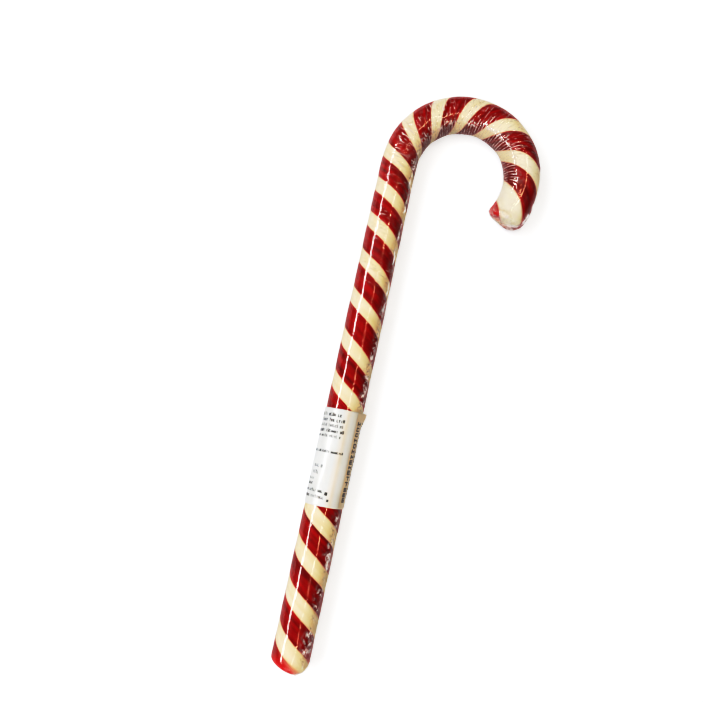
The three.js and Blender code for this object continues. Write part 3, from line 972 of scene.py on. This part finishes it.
def shrinkFilm(material):
    look = filmSet
    angle = np.arange(look["columns"]) * 2 * math.pi / look["columns"] - math.pi
    foot = endRows(footEnd, look["faceShares"], *look["footSteps"])
    hook = endRows(hookEnd, look["faceShares"], *look["tipSteps"])
    rows = foot + bodyRows(look["stemStep"], look["hookStep"]) + hook[::-1]
    loops, places, masks = [], [], []
    for row in rows:
        at, out = crossRow(row, angle, 0.0, angle * 0)
        at = at + angle * 0
        masks.append(wrinkleMasks(at, angle))
        lift = filmRise(at, angle, masks[-1])
        if row[0] == "edge" and row[2] is hookEnd:
            lift = lift + endFin(angle) * hill(row[1] - look["finMiddle"], look["finWidth"])
        at, out = crossRow(row, angle, 0.0, lift)
        loops.append(pointsOn(at + angle * 0, angle, out, look["floorGap"]))
        radius = stick["radius"] * np.clip(out / stick["radius"], 0.05, 1)
        across = radius * np.sin(angle)
        places.append(np.stack((across, radius * np.cos(angle), at + look["lean"] * across), -1))
    points, faces = closedGrid(loops)
    piece = makeMesh("shrinkFilm", points, faces, material)
    ends = np.array(((0, 0, 0), (0, 0, stick["length"])))
    addNumbers(piece, "unrolled", np.concatenate(places + [ends]), "FLOAT_VECTOR")
    for name in masks[0]:
        addNumbers(piece, name, np.concatenate([mask[name] for mask in masks] + [np.zeros(2)]))
    return piece


filmPiece = shrinkFilm(filmClear())
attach(filmPiece, "root")
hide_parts("film_wrap")
print("film made,", len(filmPiece.data.polygons), "faces")


# paper label: one sheet wrapped once round the stem and lapped over itself

paperLook = {
    "white": (0.87, 0.86, 0.84),
    "shade": (0.76, 0.75, 0.73),
    # painted warm shade and painted warm light for the label's shaded side
    "tanPaintedShade": (1.0, 0.80, 0.58),
    "peachPaintedLight": (1.0, 0.83, 0.66),
    "ink": (0.05, 0.05, 0.055),
    "barInk": (0.055, 0.02, 0.014),
    "innerRadius": 7.2,
    "seamLift": 0.16,  # over the film's seam, which the sheet covers
    "seamHalf": math.radians(9),
    "lapLift": 0.13,
    "printRaise": 0.012,
    "printThickness": 0.02,
    "floorGap": 0.12,
    "cloud": (130.0, 2.0, (1.0, 0.6, 1.0)),
    "fibre": (2600.0, 3.0, (1.0, 0.5, 1.0)),
    "wear": (1500.0, 2.0, (1.0, 1.0, 1.0)),
    "creaseHeight": 0.7,
    "fibreHeight": 0.02,
    "curlLength": 0.22,  # radians, as are the widths and middles below
    "curlHeight": 0.05,
    "buckle": 0.025,
    "creaseWidth": 0.05,
    "creaseDepth": 0.03,
    "creaseDown": (12, 18),
    "tuftMiddle": 1.5,
    "tuftWidth": 0.3,
    "tuftHeight": 1.1,
    "tuftDown": (0.5, 6.0),
    "skew": 0.25,
    "skewTurn": 0.6,
    "edgeRagged": 0.04,
    "sheetColumns": 170,
    "sheetRows": 72,
    "roughness": 0.3,
    "soak": 0.3,
    "scatter": (0.9, 0.6, 0.4),  # mm
}


def labelLift(angle, down):
    # down is the distance from the label's upper edge
    look = paperLook
    middle = labelSet["start"] + labelSet["length"] / 2
    seam = np.radians(np.interp(middle, filmSet["seamAt"], filmSet["seamAngle"]))
    offSeam = np.abs(angle - seam) - look["seamHalf"]
    first = labelSet["outerEdge"] - labelSet["lap"]
    lapStart = first + 2 * math.pi - labelSet["riseAngle"]
    lift = look["seamLift"] * (1 - smooth(offSeam, 0, labelSet["riseAngle"]))
    lift = lift + look["lapLift"] * smooth(angle, lapStart - labelSet["riseAngle"], lapStart)
    edge = labelSet["outerEdge"] + 2 * math.pi - angle
    lift = lift + smooth(-edge, -look["curlLength"], 0.0) * look["curlHeight"] * (1 + waver(41, down, 6.0))
    cells = angle / (2 * math.pi)
    lift = lift + look["buckle"] * softNoise(42, down / 7.0 + cells * 3, cells * 16, 16)
    crease = hill(angle - 2 * math.pi + 0.1 + 0.022 * (down - 17), look["creaseWidth"])
    lift = lift - look["creaseDepth"] * crease * smooth(down, *look["creaseDown"])
    tuft = hill(angle - look["tuftMiddle"], look["tuftWidth"]) * (1 - smooth(down, *look["tuftDown"]))
    return lift + look["tuftHeight"] * tuft


def labelPoints(angle, down, raised):
    look = paperLook
    out = look["innerRadius"] + labelLift(angle, down) + raised + swell(labelSet["start"] + angle * 0)
    skew = look["skew"] * np.sin(angle - look["skewTurn"])
    at = labelSet["start"] + labelSet["length"] - down + skew
    return pointsOn(at, angle, out, np.maximum(look["floorGap"] - raised, 0))


def objectPlace(tree):
    return tree.nodes.new("ShaderNodeTexCoord").outputs["Object"]


def paperFace():
    look = paperLook
    material, tree = newMaterial("labelPaper")
    place = objectPlace(tree)
    cloud = noiseOn(tree, place, *look["cloud"])
    tones = colourRamp(tree, cloud, ((0.38, look["shade"]), (0.60, look["white"])))
    # painted warm shade on the single layer beyond the lap, and painted warm light and shade along the lap's
    # edge
    white = (1, 1, 1)
    tints = colourRamp(tree, stored(tree, "wrapShare"), (
        (0.0, look["tanPaintedShade"]), (0.26, look["tanPaintedShade"]), (0.36, white), (0.88, white),
        (0.925, look["peachPaintedLight"]), (0.955, (1.0, 0.96, 0.90)), (1.0, (1.0, 0.92, 0.83))))
    tinted = mixColours(tree, 1.0, tones, tints, "MULTIPLY")
    fibre = noiseOn(tree, place, *look["fibre"])
    creases = tree.nodes.new("ShaderNodeTexVoronoi")
    creases.feature = "SMOOTH_F1"
    setSockets(creases, Scale=95.0, Smoothness=0.25)
    feed(tree, place, creases, "Vector")
    relief = plus(tree, times(tree, fibre, look["fibreHeight"]),
                  times(tree, creases.outputs["Distance"], look["creaseHeight"]))
    shader = tree.nodes.new("ShaderNodeBsdfPrincipled")
    setSockets(shader, Roughness=look["roughness"], IOR=1.45, Subsurface_Weight=look["soak"],
               Subsurface_Radius=look["scatter"], Subsurface_Scale=mm)
    feed(tree, tinted, shader, "Base Color")
    feed(tree, bumpOn(tree, relief, 1.0, mm), shader, "Normal")
    finishSurface(tree, shader.outputs["BSDF"])
    return material


def inkFace(name, colour):
    material, tree = newMaterial(name)
    wear = noiseOn(tree, objectPlace(tree), *paperLook["wear"])
    faded = tuple(0.6 * part + 0.12 for part in colour)
    shader = tree.nodes.new("ShaderNodeBsdfPrincipled")
    setSockets(shader, Roughness=0.5, IOR=1.5)
    feed(tree, colourRamp(tree, wear, ((0.45, colour), (0.75, faded))), shader, "Base Color")
    finishSurface(tree, shader.outputs["BSDF"])
    return material


def paperSheet(material):
    look = paperLook
    first = labelSet["outerEdge"] - labelSet["lap"]
    angle = np.linspace(first, labelSet["outerEdge"] + 2 * math.pi, look["sheetColumns"])
    loops = []
    for down in np.linspace(0, labelSet["length"], look["sheetRows"]):
        ragged = look["edgeRagged"] * waver(43, angle, 0.25) if down in (0, labelSet["length"]) else 0.0
        top = labelPoints(angle, down + angle * 0 + ragged, angle * 0 + labelSet["thickness"])
        under = labelPoints(angle, down + angle * 0 + ragged, angle * 0)
        loops.append(np.concatenate((top, under[::-1])))
    rows, columns = len(loops), len(loops[0])
    faces = [face[::-1] for face in gridFaces(rows, columns)]
    faces += [(face[0], *face[:0:-1]) for face in endCaps(rows, columns)]
    piece = makeMesh("paperLabel", np.concatenate(loops), faces, material)
    share = (angle - first) / (2 * math.pi + labelSet["lap"])
    addNumbers(piece, "wrapShare", np.tile(np.concatenate((share, share[::-1])), rows))
    return piece


printSet = {
    "letterWidth": 0.62,  # share of its height, with the gap that follows it
    "letterFilled": 0.74,
    "wordSpace": 0.9,
    "drop": (0, 0.25, 0.25),
    # down from the upper edge, height, first and last angle in degrees, letters in a word, line width
    "rows": (
        (1.7, 1.25, -165, 3, (4, 7), 0.3),
        (3.7, 1.25, -165, 13, (3, 6), 0.32),
        (5.8, 1.05, -165, 10, (5, 9), 0.2),
        (7.7, 1.15, -165, 15, (4, 8), 0.28),
        (9.6, 1.05, -165, 13, (5, 8), 0.22),
        (15.3, 0.9, -165, 26, (6, 12), 0.24),
        (20.4, 1.35, -58, -24, (3, 3), 0.26),
        (22.9, 1.25, -60, -28, (4, 4), 0.26),
        (25.4, 0.9, -78, -44, (2, 4), 0.2),
        (27.2, 1.0, -78, -40, (3, 6), 0.24),
        (29.4, 1.1, -165, -4, (6, 11), 0.26),
        (31.5, 1.1, -165, 2, (6, 11), 0.25),
    ),
    "marks": ((30.0, 0, 1.1, 1.2), (32.4, 8, 0.8, 0.9)),  # down, angle, width and height
}
barColumn = {
    "seed": 77,
    "down": (3.4, 31.5),
    "digitFrom": 51,  # degrees round the stem, as are the bars' ends
    "digitTo": 67,
    "digitStray": 2.0,
    "digitHeight": (1.3, 1.65),
    "digitGap": (0.4, 0.65),
    "digitStroke": 0.42,
    "barFrom": 78,
    "barTo": 150,
    "barHeight": (0.2, 0.33, 0.5, 0.66),
    "barGap": (0.22, 0.35, 0.5),
}
signShapes = (  # strokes as left, right, upper and lower share of the sign's cell
    ((0, 0.25, 0, 1), (0, 1, 0, 0.22), (0, 0.8, 0.42, 0.6), (0, 1, 0.8, 1)),
    ((0, 0.25, 0, 1), (0.72, 1, 0, 1), (0, 1, 0, 0.2), (0, 1, 0.8, 1)),
    ((0.38, 0.64, 0, 1), (0, 1, 0, 0.22)),
    ((0, 0.25, 0, 1), (0, 1, 0.38, 0.6), (0.72, 1, 0, 1)),
    ((0, 1, 0, 0.2), (0, 0.26, 0, 0.55), (0, 1, 0.42, 0.6), (0.72, 1, 0.5, 1), (0, 1, 0.8, 1)),
    ((0, 0.26, 0, 1), (0, 1, 0.78, 1)),
    ((0.36, 0.64, 0, 1),),
)


def strokeSolid(points, faces, angleLow, angleHigh, downLow, downHigh):
    # a thin closed patch of ink that follows the paper
    look = paperLook
    steps = max(2, int(abs(angleHigh - angleLow) / math.radians(5)) + 2)
    angle = np.linspace(angleLow, angleHigh, steps)
    base = len(points)
    for raised in (look["printRaise"] + look["printThickness"], look["printRaise"]):
        for down in (downLow, downHigh):
            points.extend(labelPoints(angle, angle * 0 + down, angle * 0 + labelSet["thickness"] + raised))
    upperTop, upperLow, underTop, underLow = (base + steps * k for k in range(4))
    for i in range(steps - 1):
        faces.append((upperTop + i, upperLow + i, upperLow + i + 1, upperTop + i + 1))
        faces.append((underTop + i, underTop + i + 1, underLow + i + 1, underLow + i))
        faces.append((upperTop + i, upperTop + i + 1, underTop + i + 1, underTop + i))
        faces.append((upperLow + i, underLow + i, underLow + i + 1, upperLow + i + 1))
    end = steps - 1
    faces.append((upperTop, underTop, underLow, upperLow))
    faces.append((upperTop + end, upperLow + end, underLow + end, underTop + end))


def signStrokes(points, faces, shape, angleLow, angleHigh, downLow, downHigh, stroke):
    # one made-up sign; stroke is its line width in millimetres
    wide, tall = angleHigh - angleLow, downHigh - downLow
    halfTurn = stroke / paperLook["innerRadius"] / 2
    for left, right, upper, lower in shape:
        if right - left < 0.4:
            middle = angleLow + (left + right) / 2 * wide
            first, last = middle - halfTurn, middle + halfTurn
            strokeSolid(points, faces, first, last, downLow + upper * tall, downLow + lower * tall)
        else:
            middle = downLow + (upper + lower) / 2 * tall
            top, low = middle - stroke / 2, middle + stroke / 2
            strokeSolid(points, faces, angleLow + left * wide, angleLow + right * wide, top, low)


def printedRows(material):
    points, faces = [], []
    look = printSet
    whole = 2 * math.pi
    for seed, (down, height, fromAngle, toAngle, wordLength, stroke) in enumerate(look["rows"], 1):
        draw = np.random.default_rng(seed)
        place, stop = math.radians(fromAngle) + whole, math.radians(toAngle) + whole
        letter = height * look["letterWidth"] / paperLook["innerRadius"]
        while place < stop:
            for sign in range(draw.integers(wordLength[0], wordLength[1] + 1)):
                if place + letter > stop:
                    break
                low = down + height * draw.choice(look["drop"])
                shape = signShapes[draw.integers(len(signShapes))]
                last = place + letter * look["letterFilled"]
                signStrokes(points, faces, shape, place, last, low, down + height, stroke)
                place += letter
            place += letter * look["wordSpace"]
    for down, angle, width, height in look["marks"]:
        middle = math.radians(angle) + whole
        half = width / 2 / paperLook["innerRadius"]
        strokeSolid(points, faces, middle - half, middle + half, down, down + height)
    return makeMesh("labelPrint", points, faces, material)


def printedBars(material):
    points, faces = [], []
    look = barColumn
    draw = np.random.default_rng(look["seed"])
    top, bottom = look["down"]
    down = top
    while down < bottom:
        tall = draw.uniform(*look["digitHeight"])
        left = math.radians(look["digitFrom"] + draw.uniform(0, look["digitStray"]))
        shape = signShapes[draw.integers(5)]
        signStrokes(points, faces, shape, left, math.radians(look["digitTo"]),
                    down, down + tall, look["digitStroke"])
        down += tall + draw.uniform(*look["digitGap"])
    down = top
    left, right = math.radians(look["barFrom"]), math.radians(look["barTo"])
    while down < bottom:
        tall = draw.choice(look["barHeight"])
        strokeSolid(points, faces, left, right, down, down + tall)
        down += tall + draw.choice(look["barGap"])
    return makeMesh("labelBars", points, faces, material)


paperPiece = paperSheet(paperFace())
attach(paperPiece, "root")
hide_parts("label")
printPiece = printedRows(inkFace("printInk", paperLook["ink"]))
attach(printPiece, "root")
barsPiece = printedBars(inkFace("barInk", paperLook["barInk"]))
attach(barsPiece, "root")
print("label made")


# floor and light

studio = {
    "floor": (0.89, 0.93, 1.0),
    "floorGlow": ((0.0, 0.36), (0.12, 0.36), (0.5, 0.95), (1.0, 1.0)),
    "floorReach": 3.0,
    "backdrop": (0.97, 0.97, 0.97),
    "sky": ((0.0, (0.22, 0.21, 0.20)), (0.49, (0.22, 0.21, 0.20)), (0.5, (0.24, 0.22, 0.20)),
            (0.59, (0.14, 0.13, 0.12)), (0.71, (0.08, 0.08, 0.08)), (1.0, (0.05, 0.05, 0.05))),
    "tones": ((0.08, 0.04), (0.18, 0.115), (0.30, 0.31), (0.45, 0.60), (0.62, 0.78), (0.8, 0.90)),
    "key": {"lean": -50, "ahead": 0, "distance": 0.8, "width": 0.12, "length": 1.2, "shine": 28.0,
            "colour": (1, 1, 1), "glossy": True, "diffuse": False},
    "broad": {"lean": -35, "ahead": 0, "distance": 0.9, "width": 0.45, "length": 1.2, "shine": 3.8,
              "colour": (1, 1, 1), "glossy": False, "diffuse": True},
    "warm": {"lean": 20, "ahead": 0, "distance": 0.8, "width": 0.04, "length": 1.2, "shine": 24.0,
             "colour": (1, 0.78, 0.52), "glossy": True, "diffuse": False},
    "soft": {"lean": 5, "ahead": 0, "distance": 1.1, "width": 0.6, "length": 0.8, "shine": 3.1,
             "colour": (1, 0.90, 0.74), "glossy": False, "diffuse": True},
    "front": {"lean": 0, "ahead": 62, "distance": 0.9, "width": 0.5, "length": 0.3, "shine": 4.0,
              "colour": (1, 0.98, 0.96), "glossy": True, "diffuse": True},
}


def addStrip(name, look):
    # a long lamp; lean is its angle from straight above towards +X, ahead the same towards -Y
    data = bpy.data.lights.new(name, "AREA")
    data.shape = "RECTANGLE"
    data.size = look["width"]
    data.size_y = look["length"]
    data.energy = look["shine"] * math.pi * look["width"] * look["length"]
    data.color = look["colour"]
    lamp = bpy.data.objects.new(name, data)
    lean, ahead = math.radians(look["lean"]), math.radians(look["ahead"])
    distance = look["distance"]
    lamp.location = (
        axisX * mm + distance * math.sin(lean),
        -distance * math.sin(ahead),
        distance * math.cos(lean) * math.cos(ahead),
    )
    lamp.rotation_euler = (ahead, lean, 0.0)
    lamp.visible_camera = False
    lamp.visible_glossy = look["glossy"]
    lamp.visible_diffuse = look["diffuse"]
    bpy.context.scene.collection.objects.link(lamp)


def addFloor():
    # a pale floor that glows where the lamps don't reach, and so stays as bright far away
    reach = studio["floorReach"]
    material, tree = newMaterial("floorPaint")
    far = tree.nodes.new("ShaderNodeVectorMath")
    far.operation = "LENGTH"
    feed(tree, objectPlace(tree), far, 0)
    glow = levelRamp(tree, joined(tree, "DIVIDE", far.outputs["Value"], reach), *studio["floorGlow"])
    shader = tree.nodes.new("ShaderNodeBsdfPrincipled")
    setSockets(shader, Base_Color=(*studio["floor"], 1), Roughness=0.8, Emission_Strength=1.0)
    feed(tree, glow, shader, "Emission Color")
    finishSurface(tree, shader.outputs["BSDF"])
    corners = [(-reach, -reach, 0), (reach, -reach, 0), (reach, reach, 0), (-reach, reach, 0)]
    floor = makeMesh("floor", np.array(corners), [(0, 1, 2, 3)], material)
    floor.visible_diffuse = False  # its white bounce would flatten the stick's shading


def addWorld():
    # the candy sees dim air that darkens overhead; the camera sees a pale backdrop
    world = bpy.data.worlds.new("studioAir")
    world.use_nodes = True
    tree = world.node_tree
    background = tree.nodes["Background"]
    split = tree.nodes.new("ShaderNodeSeparateXYZ")
    feed(tree, tree.nodes.new("ShaderNodeTexCoord").outputs["Generated"], split, "Vector")
    height = plus(tree, times(tree, split.outputs["Z"], 0.5), 0.5)
    sky = colourRamp(tree, height, studio["sky"])
    rays = tree.nodes.new("ShaderNodeLightPath")
    seen = mixColours(tree, rays.outputs["Is Camera Ray"], sky, (*studio["backdrop"], 1))
    feed(tree, seen, background, "Color")
    setSockets(background, Strength=1.0)
    bpy.context.scene.world = world


addFloor()
addWorld()
for lampName in ("key", "broad", "warm", "soft", "front"):
    addStrip(lampName + "Lamp", studio[lampName])


def developPicture():
    # strong contrast: deep shade and gentle highlights
    view = bpy.context.scene.view_settings
    view.view_transform = "Standard"
    view.use_curve_mapping = True
    curve = view.curve_mapping.curves[3]
    for low, high in studio["tones"]:
        curve.points.new(low, high)
    view.curve_mapping.update()


developPicture()
print("studio lit")
